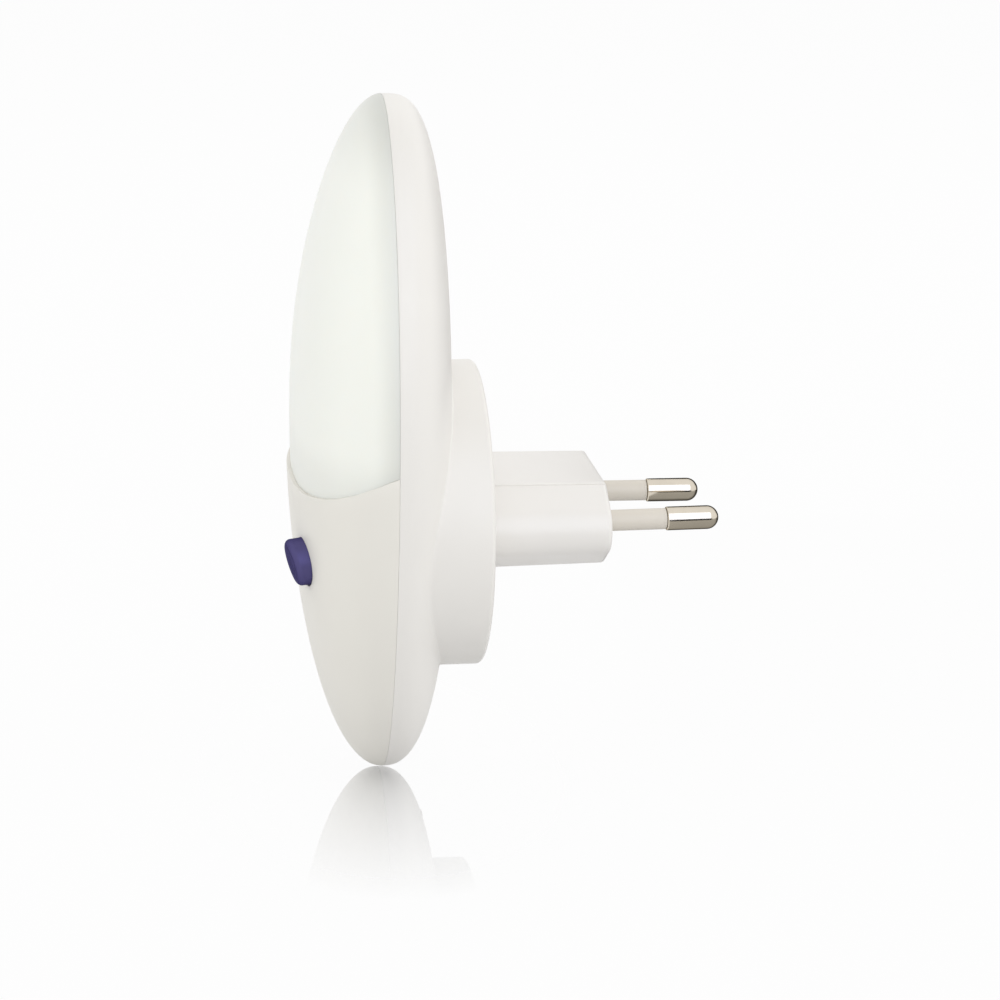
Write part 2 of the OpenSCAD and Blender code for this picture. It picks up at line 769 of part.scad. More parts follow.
// A round tube swept along a route
module swept_tube(route, radius, sides, steps) {
    count = steps + 1;
    spots = [for (k = [0 : steps]) route_point(route, (len(route) - 1) * k / steps)];
    ahead = [for (k = [0 : steps]) unit(spots[min(k + 1, steps)] - spots[max(k - 1, 0)])];
    rings = [
        for (k = [0 : steps], j = [0 : sides - 1])
            let(
                across = unit(cross(ahead[k], [0, 1, 0])),
                up = cross(across, ahead[k]),
                a = 360 * j / sides
            )
            spots[k] + radius * (cos(a) * across + sin(a) * up)
    ];
    walls = [
        for (k = [0 : steps - 1], j = [0 : sides - 1])
            let(a = k * sides + j, b = k * sides + (j + 1) % sides)
            [a, b, b + sides, a + sides]
    ];
    near_end = [for (j = [sides - 1 : -1 : 0]) j];
    far_end = [for (j = [0 : sides - 1]) steps * sides + j];
    polyhedron(rings, concat(walls, [near_end, far_end]));
}

module lead(side) {
    swept_tube([for (p = lead_route) [p[0], side * p[1], p[2]]], lead_diameter / 2, 8, 28);
}

module live_lead() {
    color([0.45, 0.27, 0.15]) lead(-1);
}

module neutral_lead() {
    color([0.2, 0.35, 0.7]) lead(1);
}

module circuit_board() {
    color([0.2, 0.45, 0.3])
        difference() {
            board_blank(
                board_front_x,
                board_thickness,
                board_half_width,
                board_bottom,
                board_top,
                board_corner
            );
            for (p = board_screws_at)
                along_x(board_front_x - 1, p[0], p[1])
                    cylinder(r = board_screw_radius + 0.15, h = board_thickness + 2, $fn = 32);
        }
}

// Places of the light sources in Y and Z
function led_place(side, high) = [side * led_offset, high ? led_high_level : led_low_level];

module reflector_plate() {
    top_x = board_front_x - reflector_thickness;
    plate_columns = 24;
    sweep = [for (i = [0 : plate_columns]) -90 + 180 * i / plate_columns];
    low = chamber_level;
    high = widest_level + top_rise - inner_inset;
    half_angle = acos((low - widest_level) / (bottom_drop - inner_inset));
    plate = [
        for (i = [0 : 48])
            let(a = -half_angle + 2 * half_angle * i / 48, rise = cos(a))
            [(half_width - inner_inset) * sin(a),
                widest_level + ((rise >= 0 ? top_rise : bottom_drop) - inner_inset) * rise]
    ];
    chamber = [
        for (a = sweep)
            let(y = egg_half_width(low, inner_inset) * sin(a))
            [y, front_x - dome_rise(y, low, inner_inset, dome_depth - inner_inset)]
    ];
    color([0.97, 0.97, 0.97])
        difference() {
            union() {
                translate([top_x, 0, 0])
                    rotate([90, 0, 90])
                        linear_extrude(reflector_thickness)
                            polygon(plate);
                translate([0, 0, low])
                    linear_extrude(reflector_thickness)
                        polygon(concat(
                            [for (p = chamber) [min(p[1], top_x), p[0]]],
                            [[board_front_x, egg_half_width(low, inner_inset) - 1],
                                [board_front_x, -egg_half_width(low, inner_inset) + 1]]
                        ));
            }
            for (side = [-1, 1], high_row = [false, true])
                along_x(top_x - 1, led_place(side, high_row)[0], led_place(side, high_row)[1])
                    cylinder(r = led_flange + 0.3, h = reflector_thickness + 2, $fn = 40);
            for (p = [board_screws_at[2], board_screws_at[3]])
                along_x(top_x - 1, p[0], p[1])
                    cylinder(r = board_screw_radius + 0.15, h = reflector_thickness + 2, $fn = 32);
        }
}

// A round light-emitting diode on two wire legs
module led(side, high) {
    place = led_place(side, high);
    lift = 1;
    flange_height = 1;
    straight = led_height - led_radius;
    dome = [
        for (i = [0 : 8])
            [led_radius * cos(90 * i / 8), lift + straight + led_radius * sin(90 * i / 8)]
    ];
    color([0.98, 0.95, 0.8])
        translate([board_front_x, place[0], place[1]])
            rotate([0, -90, 0]) {
                rotate_extrude($fn = 48)
                    polygon(concat(
                        [[0, lift], [led_flange, lift], [led_flange, lift + flange_height],
                            [led_radius, lift + flange_height]],
                        dome
                    ));
                for (leg = [-1, 1])
                    translate([0, leg * 1.27, 0])
                        cylinder(d = leg_diameter, h = lift + 0.2, $fn = 16);
            }
}

module led_lower_left() {
    led(1, false);
}

module led_lower_right() {
    led(-1, false);
}

module led_upper_left() {
    led(1, true);
}

module led_upper_right() {
    led(-1, true);
}

module mains_capacitor() {
    round_edge = 0.8;
    color([0.85, 0.65, 0.2])
        translate([board_rear_x, 0, mains_capacitor_level])
            rotate([90, 0, 90])
                linear_extrude(mains_capacitor_height)
                    offset(r = round_edge, $fn = 16)
                        square([mains_capacitor_width - 2 * round_edge,
                            mains_capacitor_thickness - 2 * round_edge], center = true);
}

// A wire leg that runs from a lying component's end down to the board
module bent_leg(reach, drop) {
    cylinder(d = leg_diameter, h = reach, $fn = 16);
    translate([0, 0, reach - leg_diameter / 2])
        rotate([0, 90, 0])
            cylinder(d = leg_diameter, h = drop, $fn = 16);
}

// A round component that lies on the board's front along Z, with a leg at each end
module lying_component(y, z, diameter, length) {
    x = board_front_x - diameter / 2 - fit_clearance;
    translate([x, y, z]) {
        translate([0, 0, -length / 2])
            cylinder(d = diameter, h = length, $fn = 48);
        for (end = [0, 1])
            mirror([0, 0, end])
                translate([0, 0, length / 2 - 0.2])
                    bent_leg(leg_reach, board_front_x - x);
    }
}

module smoothing_capacitor() {
    color([0.15, 0.15, 0.2])
        lying_component(smoothing_y, smoothing_level, smoothing_diameter, smoothing_length);
}

module fuse_resistor() {
    color([0.35, 0.5, 0.35])
        lying_component(fuse_y, power_level, fuse_diameter, fuse_length);
}

module small_resistors() {
    color([0.75, 0.65, 0.45])
        for (i = [0, 1])
            lying_component(
                resistor_y - i * resistor_spacing,
                resistor_level,
                resistor_diameter,
                resistor_length
            );
}

// A flat chip package on the board's front with legs on its two long sides
module chip(y, z, length, width, height, legs) {
    stand = 0.15;
    leg = [0.6, 1, 0.4];
    pitch = length / legs;
    translate([board_front_x - height - stand, y - width / 2, z - length / 2])
        cube([height, width, length]);
    for (i = [0 : legs - 1], side = [-1, 1])
        translate([
            board_front_x - leg[0] / 2,
            y + side * (width / 2 + 0.2),
            z - length / 2 + pitch * (i + 0.5)
        ])
            cube(leg, center = true);
}

module bridge_rectifier() {
    color([0.12, 0.12, 0.12])
        chip(package_y, power_level, rectifier_length, rectifier_width, rectifier_height, 2);
}

module controller_chip() {
    color([0.1, 0.1, 0.1])
        chip(package_y, chip_level, chip_length, chip_width, chip_height, 4);
}

module switch_wedge() {
    base = switch_width + 0.6;
    slab = 0.4;
    reach = board_front_x - button_x;
    foot_y = button_y + reach * tan(button_yaw);
    foot_z = button_z + reach * tan(button_pitch) / cos(button_yaw);
    color([0.6, 0.6, 0.62])
        hull() {
            translate([board_front_x - slab, foot_y - base / 2, foot_z - base / 2])
                cube([slab, base, base]);
            on_button()
                translate([-base / 2, -base / 2, switch_bottom - slab])
                    cube([base, base, slab]);
        }
}

module switch_body() {
    half = switch_width / 2;
    color([0.2, 0.2, 0.22])
        on_button()
            difference() {
                translate([-half, -half, switch_bottom])
                    cube([switch_width, switch_width, switch_height]);
                translate([0, 0, switch_top - plunger_depth - button_travel - 0.3])
                    cylinder(r = plunger_radius + plunger_clearance,
                        h = plunger_depth + button_travel + 1.3, $fn = 40);
            }
}

module switch_plunger() {
    color([0.9, 0.9, 0.88])
        on_button()
            translate([0, 0, switch_top - plunger_depth])
                cylinder(r = plunger_radius, h = plunger_depth + plunger_rise, $fn = 40);
}

// Discs that bound the cap's face, from its rounded rim to its crown: [radius, height against the top]
function cap_face() =
    let(inner = button_radius - button_taper - button_rim)
    concat(
        [
            for (i = [0 : arc_steps])
                let(a = 90 * i / arc_steps)
                [inner + button_rim * cos(a), button_rim * (sin(a) - 1) - button_crown]
        ],
        [for (share = [0.75, 0.5, 0.25]) [inner * share, -button_crown * share * share]]
    );

module button_cap() {
    disc = 0.01;
    flange_radius = button_radius + button_flange_reach;
    color([0.35, 0.33, 0.52])
        on_button() {
            rotate_extrude($fn = 64)
                polygon([[0, plunger_top], [stem_radius, plunger_top], [stem_radius, stem_top],
                    [flange_radius, stem_top], [flange_radius, flange_top], [0, flange_top]]);
            hull() {
                translate([0, 0, flange_top - button_flange / 2])
                    cylinder(r = button_radius, h = disc, $fn = 64);
                translate([0, 0, button_height])
                    rotate([0, -button_face_tilt, 0])
                        for (p = cap_face())
                            translate([0, 0, p[1] - disc])
                                cylinder(r = p[0], h = disc, $fn = 64);
            }
        }
}

// A cross-headed screw whose shank points to +Z from the head's seat at zero
module screw(shank, length, head, height) {
    slot = head * 0.3;
    difference() {
        union() {
            cylinder(r = shank, h = length, $fn = 32);
            translate([0, 0, -height])
                cylinder(r = head, h = height, $fn = 40);
        }
        for (turn = [0, 90])
            rotate([0, 0, turn])
                translate([-head * 0.6, -slot / 2, -height - 1])
                    cube([head * 1.2, slot, 1 + height * 0.5]);
    }
}

module board_screws() {
    color([0.7, 0.7, 0.72])
        for (i = [0 : 3])
            along_x(
                board_front_x - (i > 1 ? reflector_thickness : 0),
                board_screws_at[i][0],
                board_screws_at[i][1]
            )
                screw(board_screw_radius, board_screw_length, board_screw_head, board_screw_head_height);
}

module case_screw() {
    color([0.7, 0.7, 0.72])
        translate([case_seat_x, 0, case_screw_level])
            rotate([0, -90, 0])
                screw(case_screw_radius, case_screw_length, case_screw_head, case_screw_head_height);
}

diffuser();
front_cover();
back_shell();
plug_body();
pin_retainer();
live_pin();
neutral_pin();
live_pin_sleeve();
neutral_pin_sleeve();
live_lead();
neutral_lead();
circuit_board();
reflector_plate();
led_lower_left();
led_lower_right();
led_upper_left();
led_upper_right();
mains_capacitor();
smoothing_capacitor();
bridge_rectifier();
fuse_resistor();
small_resistors();
controller_chip();
switch_wedge();
switch_body();
switch_plunger();
button_cap();
board_screws();
case_screw();
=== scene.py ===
"""Looks of the plug in night light: smooth shells, plug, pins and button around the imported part.

Lengths are in millimetres until mesh_object turns them into metres. +X points into the wall socket,
-X out of the light's front and +Z up, as in the frame.
"""

import math

import bmesh
import bpy
import numpy as np
from mathutils import Matrix, Vector


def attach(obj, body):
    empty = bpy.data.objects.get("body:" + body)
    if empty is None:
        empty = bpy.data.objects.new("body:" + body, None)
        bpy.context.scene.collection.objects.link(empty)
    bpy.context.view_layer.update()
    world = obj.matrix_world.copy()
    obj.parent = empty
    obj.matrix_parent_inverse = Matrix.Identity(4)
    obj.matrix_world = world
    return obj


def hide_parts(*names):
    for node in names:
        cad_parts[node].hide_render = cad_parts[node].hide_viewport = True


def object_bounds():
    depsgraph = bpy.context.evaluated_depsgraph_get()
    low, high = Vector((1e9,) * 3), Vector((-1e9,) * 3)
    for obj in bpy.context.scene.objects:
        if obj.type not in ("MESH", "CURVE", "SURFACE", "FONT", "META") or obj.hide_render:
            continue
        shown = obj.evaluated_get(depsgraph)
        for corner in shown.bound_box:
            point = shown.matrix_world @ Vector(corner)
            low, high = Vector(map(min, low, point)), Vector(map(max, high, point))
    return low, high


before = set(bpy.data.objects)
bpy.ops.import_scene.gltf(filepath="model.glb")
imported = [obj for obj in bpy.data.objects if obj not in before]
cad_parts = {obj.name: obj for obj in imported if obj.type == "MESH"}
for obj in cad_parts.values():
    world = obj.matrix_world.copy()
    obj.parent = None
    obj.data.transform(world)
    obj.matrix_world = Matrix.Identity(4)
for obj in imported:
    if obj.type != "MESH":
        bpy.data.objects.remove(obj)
cad_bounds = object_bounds()

MM = 0.001

# The egg outline and the two domes
HALF_WIDTH = 29.0
WIDEST_LEVEL = 16.2
TOP_RISE = 54.4
BOTTOM_DROP = 60.8
SEAM_X = -16.1
SEAM_OPENING = 0.02
FRONT_X = SEAM_X - SEAM_OPENING
DOME_DEPTH = 14.9
DOME_SIDE, DOME_TOP, DOME_BOTTOM = 2.5, 1.8, 2.0
COVER_PROUD = 0.68
BACK_DEPTH = 11.1
BACK_SIDE, BACK_TOP, BACK_BOTTOM = 2.6, 3.4, 2.5
BACK_LEAN = 0.0015
WALL = 2.0
SEAM_ROUND = 0.06

# The diffuser's lower edge and the tongue that slips behind the cover
EDGE_LEVEL = 7.1
EDGE_RISE = 6.3
EDGE_POWER = 2.5
EDGE_GAP = 0.03
EDGE_ROUND = 0.12
TONGUE_LENGTH = 2.5
TONGUE_CLEARANCE = 0.12
TONGUE_INSET = WALL + TONGUE_CLEARANCE
TONGUE_THICKNESS = 1.2

# Levels over the lower edge where the diffuser's inner skin has the plain wall, and the tongue's one
PLAIN_LEVELS = (2.5, 2.0)
TONGUE_LEVELS = (1.0, 0.5, 0)

# The rear boss
BOSS_RADIUS = 25.75
BOSS_LEVEL = -0.4
BOSS_RIM = 0.8
BOSS_BLEND = 0.35
BOSS_WALL = 2.2
BOSS_FLOOR = 2.4

# The plug body and its pins
PLUG_LENGTH = 20.6
PLUG_WIDTH = 35.3
PLUG_HEIGHT = 14.0
PLUG_FLAT = 21.5
PLUG_CORNER = 1.4
PLUG_SIDE_ROUND = 4.6
PLUG_DRAFT = 0.25
PLUG_END_ROUND = 0.8
PLUG_MOULD_LINE = 0.18
PLUG_INNER_X = -4.0
PLUG_CLEARANCE = 0.1
PLUG_HOLE_GROWTH = PLUG_DRAFT + PLUG_CLEARANCE
PIN_LENGTH = 19.5
PIN_RADIUS = 2.0
PIN_CORE_RADIUS = 1.4
PIN_BASE_SPACING = 18.6
PIN_TIP_SPACING = 17.5
PIN_LEAN = math.atan((PIN_BASE_SPACING - PIN_TIP_SPACING) / 2 / PIN_LENGTH)
SLEEVE_LENGTH = 10.5
SLEEVE_RADIUS = 1.78
PIN_ROOT = -11.0
SLEEVE_ROOT = -1.4
SLEEVE_CLEARANCE = 0.02
SLEEVE_END_GAP = 0.05
SLEEVE_END_ROUND = 0.15
SHOULDER_ROUND = 0.2

# The push button
BUTTON_Y = -11.7
BUTTON_Z = -4.95
BUTTON_YAW = math.radians(9.5)
BUTTON_PITCH = math.radians(6)
BUTTON_RADIUS = 4.05
BUTTON_HEIGHT = 2.55
BUTTON_TAPER = 0.05
BUTTON_FACE_TILT = math.radians(8)
BUTTON_CROWN = 0.3
BUTTON_RIM = 0.9
BUTTON_ROOT = -3.2
BUTTON_GAP = 0.1
BUTTON_CUT = (-6, 4)

# The case screw's recess below the boss
SCREW_LEVEL = -33.0
SCREW_SEAT_X = SEAM_X + 4.6
SCREW_RECESS = 2.8
SCREW_HOLE = 1.6
SCREW_POST = 4.0
SCREW_POST_X = SEAM_X + 2.0
SCREW_CUT_END = 2

# Points across a front piece and round each of its edges at the seam
COLUMNS = 96
SEAM_TURNS = (30, 60, 90)

# The floor, whose mirror image fades out over a reach along X, Y and Z in metres
FLOOR_DROP = 0.95
FLOOR_REACH = 1500.0
FLOOR_GLOW = 0.95
MIRROR_REACH = (0.036, 0.06, 0.036)
MIRROR_STRENGTH = 0.75

# The point that the lamps face, in metres
LAMP_TARGET = (0, 0, 0.015)

# The camera, solved from the photograph's pins and boss
CAMERA_YAW = math.radians(8.374)
CAMERA_DROP = math.radians(15.662)
CAMERA_ROLL = math.radians(0.782)
CAMERA_DISTANCE = 559.81
CAMERA_SIDE = -4.214
CAMERA_RISE = -1.485
CAMERA_LENS = 119.11
SENSOR = 36.0


# ---------------------------------------------------------------- shapes

def half_height(z):
    """Half height of the outline on the side of its widest level where z is."""
    return np.where(z >= WIDEST_LEVEL, TOP_RISE, BOTTOM_DROP)


def dome(y, z, inset, depth, side_power, top_power, bottom_power):
    """Rise of a domed skin over the seam plane."""
    across = (y / (HALF_WIDTH - inset)) ** 2
    upright = ((z - WIDEST_LEVEL) / (half_height(z) - inset)) ** 2
    square = np.maximum(across + upright, 1e-12)
    side = across / square
    power = side_power * side + np.where(z >= WIDEST_LEVEL, top_power, bottom_power) * (1 - side)
    return depth * np.maximum(0, 1 - square ** (power / 2)) ** (1 / power)


def front_rise(y, z, inset, proud):
    """Rise of the front dome's skin."""
    return dome(y, z, inset, DOME_DEPTH + proud - inset, DOME_SIDE, DOME_TOP, DOME_BOTTOM)


def back_x(y, z, inset):
    """Place of the back shell's skin along X."""
    rise = dome(y, z, inset, BACK_DEPTH - inset, BACK_SIDE, BACK_TOP, BACK_BOTTOM)
    return SEAM_X + rise * (1 - BACK_LEAN * (z - WIDEST_LEVEL / 2))


def front_row(up, share, past, inset, angles):
    """Y and Z of a row across a front piece, from one side of the seam to the other."""
    rise = TOP_RISE if up > 0 else BOTTOM_DROP
    tip = WIDEST_LEVEL + up * (rise - inset)
    edge = EDGE_LEVEL + EDGE_RISE * np.abs(angles * 2 / math.pi) ** EDGE_POWER
    z = tip + (edge + past - tip) * (1 - math.cos(share * math.pi / 2))
    width = np.sqrt(np.maximum(0, 1 - ((z - WIDEST_LEVEL) / (half_height(z) - inset)) ** 2))
    return (HALF_WIDTH - inset) * width * np.sin(angles), z


def outer_row(up, share, past, inset, proud):
    """A row on the outer skin with its rounded edges at the seam."""
    angles = np.linspace(-math.pi / 2, math.pi / 2, COLUMNS + 1)
    y, z = front_row(up, share, past, inset, angles)
    x = np.minimum(FRONT_X - front_rise(y, z, inset, proud), FRONT_X - SEAM_ROUND)
    middle = np.stack([x, y, z], axis=1)
    ends = {-1: [], 1: []}
    for side in ends:
        for turn in np.radians(SEAM_TURNS):
            drawn_in = inset + SEAM_ROUND * (1 - math.cos(turn))
            ye, ze = front_row(up, share, past, drawn_in, np.array([side * math.pi / 2]))
            ends[side].append([FRONT_X - SEAM_ROUND * (1 - math.sin(turn)), ye[0], ze[0]])
    return np.vstack([ends[-1][::-1], middle, ends[1]])


def inner_row(up, share, past, inset, proud):
    """A row on the inner skin with as many points as an outer one."""
    angles = np.linspace(-math.pi / 2, math.pi / 2, COLUMNS + 1 + 2 * len(SEAM_TURNS))
    y, z = front_row(up, share, past, inset, angles)
    return np.stack([FRONT_X - front_rise(y, z, inset, proud), y, z], axis=1)


def front_piece(up, outer, inner):
    """Closed shell of a front piece.

    Its rows are (share of the way to the edge, step past it, inset, proud).
    """
    loops = []
    for out, back in zip(outer, inner):
        front = outer_row(up, *out)
        rear = inner_row(up, *back)
        loops.append(np.vstack([front, rear[::-1]]))
    return loft(loops, closed_ends=True)


def loft(loops, closed_ends=False, joined=False):
    """Faces between equal closed loops. The ends are capped, or the last loop meets the first."""
    count = len(loops[0])
    faces = []
    for row in range(len(loops) - (0 if joined else 1)):
        near = row * count
        far = (row + 1) % len(loops) * count
        for i in range(count):
            j = (i + 1) % count
            faces.append((near + i, near + j, far + j, far + i))
    if closed_ends:
        half = count // 2
        last = (len(loops) - 1) * count
        for i in range(half - 1):
            a, b = i, count - 1 - i
            faces.append((a, b, b - 1, a + 1))
            faces.append((last + a, last + a + 1, last + b - 1, last + b))
    return np.vstack(loops), faces


def lathe(profile, segments=96):
    """Surface turned about local Z from (radius, height) points that start and end on the axis or close."""
    closed = profile[0][0] > 0
    ring = [p for p in profile if p[0] > 0]
    turns = np.linspace(0, 2 * math.pi, segments, endpoint=False)
    loops = [np.stack([r * np.cos(turns), r * np.sin(turns), np.full(segments, h)], axis=1) for r, h in ring]
    points, faces = loft(loops, joined=closed)
    if not closed:
        last = (len(ring) - 1) * segments
        low, high = len(points), len(points) + 1
        points = np.vstack([points, [0, 0, profile[0][1]], [0, 0, profile[-1][1]]])
        for i in range(segments):
            j = (i + 1) % segments
            faces.append((low, j, i))
            faces.append((high, last + i, last + j))
    return points, faces


def arc(centre, radius, start, end, steps):
    """Points of an arc in a profile, in degrees."""
    turns = np.radians(np.linspace(start, end, steps + 1))
    return [(centre[0] + radius * math.cos(t), centre[1] + radius * math.sin(t)) for t in turns]


def outline_radius(turn, inset):
    """Distance from the boss's axis to the egg outline, in each direction."""
    cos, sin = np.cos(turn), np.sin(turn)
    offset = BOSS_LEVEL - WIDEST_LEVEL
    found = np.zeros_like(turn)
    for rise, above in ((BOTTOM_DROP, False), (TOP_RISE, True)):
        height = rise - inset
        a = (cos / (HALF_WIDTH - inset)) ** 2 + (sin / height) ** 2
        b = 2 * offset * sin / height ** 2
        c = (offset / height) ** 2 - 1
        reach = (-b + np.sqrt(b * b - 4 * a * c)) / (2 * a)
        found = np.where((offset + reach * sin >= 0) == above, reach, found)
    return found


def hexagon_loop(x, growth, line=0.0, steps=8):
    """The plug's six-sided section at one X, with round sides and rounded corners.

    A line above nought sinks a mould line that deep beside each corner.
    """
    side = (PLUG_WIDTH / 2 - PLUG_SIDE_ROUND, 0.0)
    corner = (PLUG_FLAT / 2 - PLUG_CORNER / 2, PLUG_HEIGHT / 2 - PLUG_CORNER)
    across, drop = side[0] - corner[0], corner[1]
    tangent = math.acos((PLUG_CORNER - PLUG_SIDE_ROUND) / math.hypot(across, drop))
    slant = tangent - math.atan2(drop, across)
    quarter = arc(side, PLUG_SIDE_ROUND + growth, 0, math.degrees(slant), steps)[1:]
    rounded = arc(corner, PLUG_CORNER + growth, math.degrees(slant), 90, steps)
    if line:
        (y, z), cos, sin = rounded[0], math.cos(slant), math.sin(slant)
        quarter.append((y + line * sin, z - line * cos))
        rounded[0] = (y - line * cos, z - line * sin)
    quarter += rounded
    above = quarter + [(-y, z) for y, z in reversed(quarter)]
    below = [(-y, -z) for y, z in above]
    tip = PLUG_WIDTH / 2 + growth
    return np.array([(x, y, z) for y, z in [(tip, 0.0)] + above + [(-tip, 0.0)] + below])


def hexagon_reach(turn, growth):
    """Distance from the boss's axis to the plug's section in one direction."""
    loop = hexagon_loop(0, growth)[:, 1:] - [0, BOSS_LEVEL]
    ray = np.array([math.cos(turn), math.sin(turn)])
    for p, q in zip(loop, np.roll(loop, -1, axis=0)):
        edge = q - p
        cross = ray[0] * edge[1] - ray[1] * edge[0]
        if abs(cross) < 1e-9:
            continue
        reach = (p[0] * edge[1] - p[1] * edge[0]) / cross
        along = (p[0] * ray[1] - p[1] * ray[0]) / cross
        if reach > 0 and -1e-6 <= along <= 1 + 1e-6:
            return reach
    return PLUG_HEIGHT / 2


def back_shell_shape(directions=288, rows=56):
    """Back shell as rings about the boss's axis: seam edge, outer skin, blend, boss, hole and inner skin."""
    turn = np.linspace(0, 2 * math.pi, directions, endpoint=False)
    cos, sin = np.cos(turn), np.sin(turn)
    rings = []

    def ring(x, reach):
        x, reach = np.broadcast_to(x, turn.shape), np.broadcast_to(reach, turn.shape)
        rings.append(np.stack([x, reach * cos, BOSS_LEVEL + reach * sin], axis=1))

    def skin(reach, inset):
        return back_x(reach * cos, BOSS_LEVEL + reach * sin, inset)

    for lean in np.radians(SEAM_TURNS[::-1]):
        drawn_in = SEAM_ROUND * (1 - math.cos(lean))
        ring(SEAM_X + SEAM_ROUND * (1 - math.sin(lean)), outline_radius(turn, drawn_in))
    outline = outline_radius(turn, 0)
    foot = BOSS_RADIUS + BOSS_BLEND
    for step in np.linspace(0, math.pi / 2, rows):
        reach = outline - (outline - foot) * (1 - math.cos(step))
        ring(np.maximum(skin(reach, 0), SEAM_X + SEAM_ROUND), reach)
    foot_x, corner_x = skin(foot, 0), skin(BOSS_RADIUS, 0)
    wall_x = corner_x + BOSS_BLEND
    for t in np.linspace(0, 1, 9)[1:]:
        x = (1 - t) ** 2 * foot_x + 2 * t * (1 - t) * corner_x + t * t * wall_x
        ring(x, foot + (BOSS_RADIUS - foot) * (2 * t * (1 - t) + t * t))
    for reach, x in arc((BOSS_RADIUS - BOSS_RIM, -BOSS_RIM), BOSS_RIM, 0, 90, 8):
        ring(x, reach)
    hole = np.array([hexagon_reach(t, PLUG_HOLE_GROWTH) for t in turn])
    ring(0.0, (BOSS_RADIUS - BOSS_RIM + hole) / 2)
    ring(0.0, hole)
    ring(-BOSS_FLOOR, hole)
    inner_boss = BOSS_RADIUS - BOSS_WALL
    ring(-BOSS_FLOOR, inner_boss)
    inner_outline = outline_radius(turn, WALL)
    for step in np.linspace(math.pi / 2, 0, rows // 2):
        reach = inner_outline - (inner_outline - inner_boss) * (1 - math.cos(step))
        ring(skin(reach, WALL), reach)
    return loft(rings, joined=True)


# ---------------------------------------------------------------- objects

def mesh_object(name, shapes, place=None):
    """One mesh object from closed shapes in millimetres, moved by a matrix, with its faces turned outward.
    """
    mesh = bmesh.new()
    for points, faces in shapes:
        vertices = [mesh.verts.new(Vector(p) * MM) for p in points]
        for face in faces:
            mesh.faces.new([vertices[i] for i in face])
    bmesh.ops.remove_doubles(mesh, verts=mesh.verts, dist=1e-7)
    bmesh.ops.recalc_face_normals(mesh, faces=mesh.faces)
    data = bpy.data.meshes.new(name)
    mesh.to_mesh(data)
    mesh.free()
    if place is not None:
        data.transform(place)
    thing = bpy.data.objects.new(name, data)
    bpy.context.scene.collection.objects.link(thing)
    return thing


def cut(thing, shapes, place=None):
    """Cuts closed shapes out of an object."""
    cutter = mesh_object("cutter", shapes, place)
    step = thing.modifiers.new("cut", "BOOLEAN")
    step.object = cutter
    step.solver = "EXACT"
    graph = bpy.context.evaluated_depsgraph_get()
    data = bpy.data.meshes.new_from_object(thing.evaluated_get(graph))
    thing.modifiers.clear()
    thing.data = data
    bpy.data.objects.remove(cutter, do_unlink=True)


def finish_piece(thing, body, nodes, material, sharp=35):
    """Smooths a piece, gives it its material, hangs it on the body that carries it and hides the CAD nodes
    that it stands in for.
    """
    for face in thing.data.polygons:
        face.use_smooth = True
    thing.data.set_sharp_from_angle(angle=math.radians(sharp))
    thing.data.materials.clear()
    thing.data.materials.append(material)
    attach(thing, body)
    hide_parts(*nodes)


def pin_place(side):
    """Matrix, in metres, that puts local +Z along a pin, out of the plug body's end."""
    spot = Matrix.Translation(Vector((PLUG_LENGTH, side * PIN_BASE_SPACING / 2, 0)) * MM)
    return spot @ Matrix.Rotation(-side * PIN_LEAN, 4, "Z") @ Matrix.Rotation(math.pi / 2, 4, "Y")


def button_place():
    """Matrix, in metres, that puts local +Z along the button's axis, out of the cover's surface."""
    x = FRONT_X - float(front_rise(np.array(BUTTON_Y), np.array(BUTTON_Z), 0, COVER_PROUD))
    spot = Matrix.Translation(Vector((x, BUTTON_Y, BUTTON_Z)) * MM)
    return spot @ Matrix.Rotation(BUTTON_YAW, 4, "Z") @ Matrix.Rotation(-math.pi / 2 - BUTTON_PITCH, 4, "Y")


# ---------------------------------------------------------------- materials

def new_material(name):
    """A material with its nodes, its shader and its object coordinates."""
    material = bpy.data.materials.new(name)
    material.use_nodes = True
    tree = material.node_tree
    shader = tree.nodes["Principled BSDF"]
    place = tree.nodes.new("ShaderNodeTexCoord").outputs["Object"]
    return material, tree, shader, place


def noise(tree, place, scale, detail=4.0, roughness=0.5):
    """Noise in object space, scaled in features per metre."""
    node = tree.nodes.new("ShaderNodeTexNoise")
    node.inputs["Scale"].default_value = scale
    node.inputs["Detail"].default_value = detail
    node.inputs["Roughness"].default_value = roughness
    tree.links.new(place, node.inputs["Vector"])
    return node.outputs["Fac"]


def ramp(tree, value, stops):
    """Colour or value ramp through (position, colour) stops."""
    node = tree.nodes.new("ShaderNodeValToRGB")
    while len(node.color_ramp.elements) < len(stops):
        node.color_ramp.elements.new(0.5)
    for element, (position, colour) in zip(node.color_ramp.elements, stops):
        element.position = position
        element.color = (*colour, 1.0)
    tree.links.new(value, node.inputs["Fac"])
    return node.outputs["Color"]


def bump(tree, height, strength, distance):
    """A bump normal from a height in object space."""
    node = tree.nodes.new("ShaderNodeBump")
    node.inputs["Strength"].default_value = strength
    node.inputs["Distance"].default_value = distance
    tree.links.new(height, node.inputs["Height"])
    return node.outputs["Normal"]


def shade(colour, amount):
    """A colour made lighter or darker."""
    return tuple(min(1.0, c * amount) for c in colour)


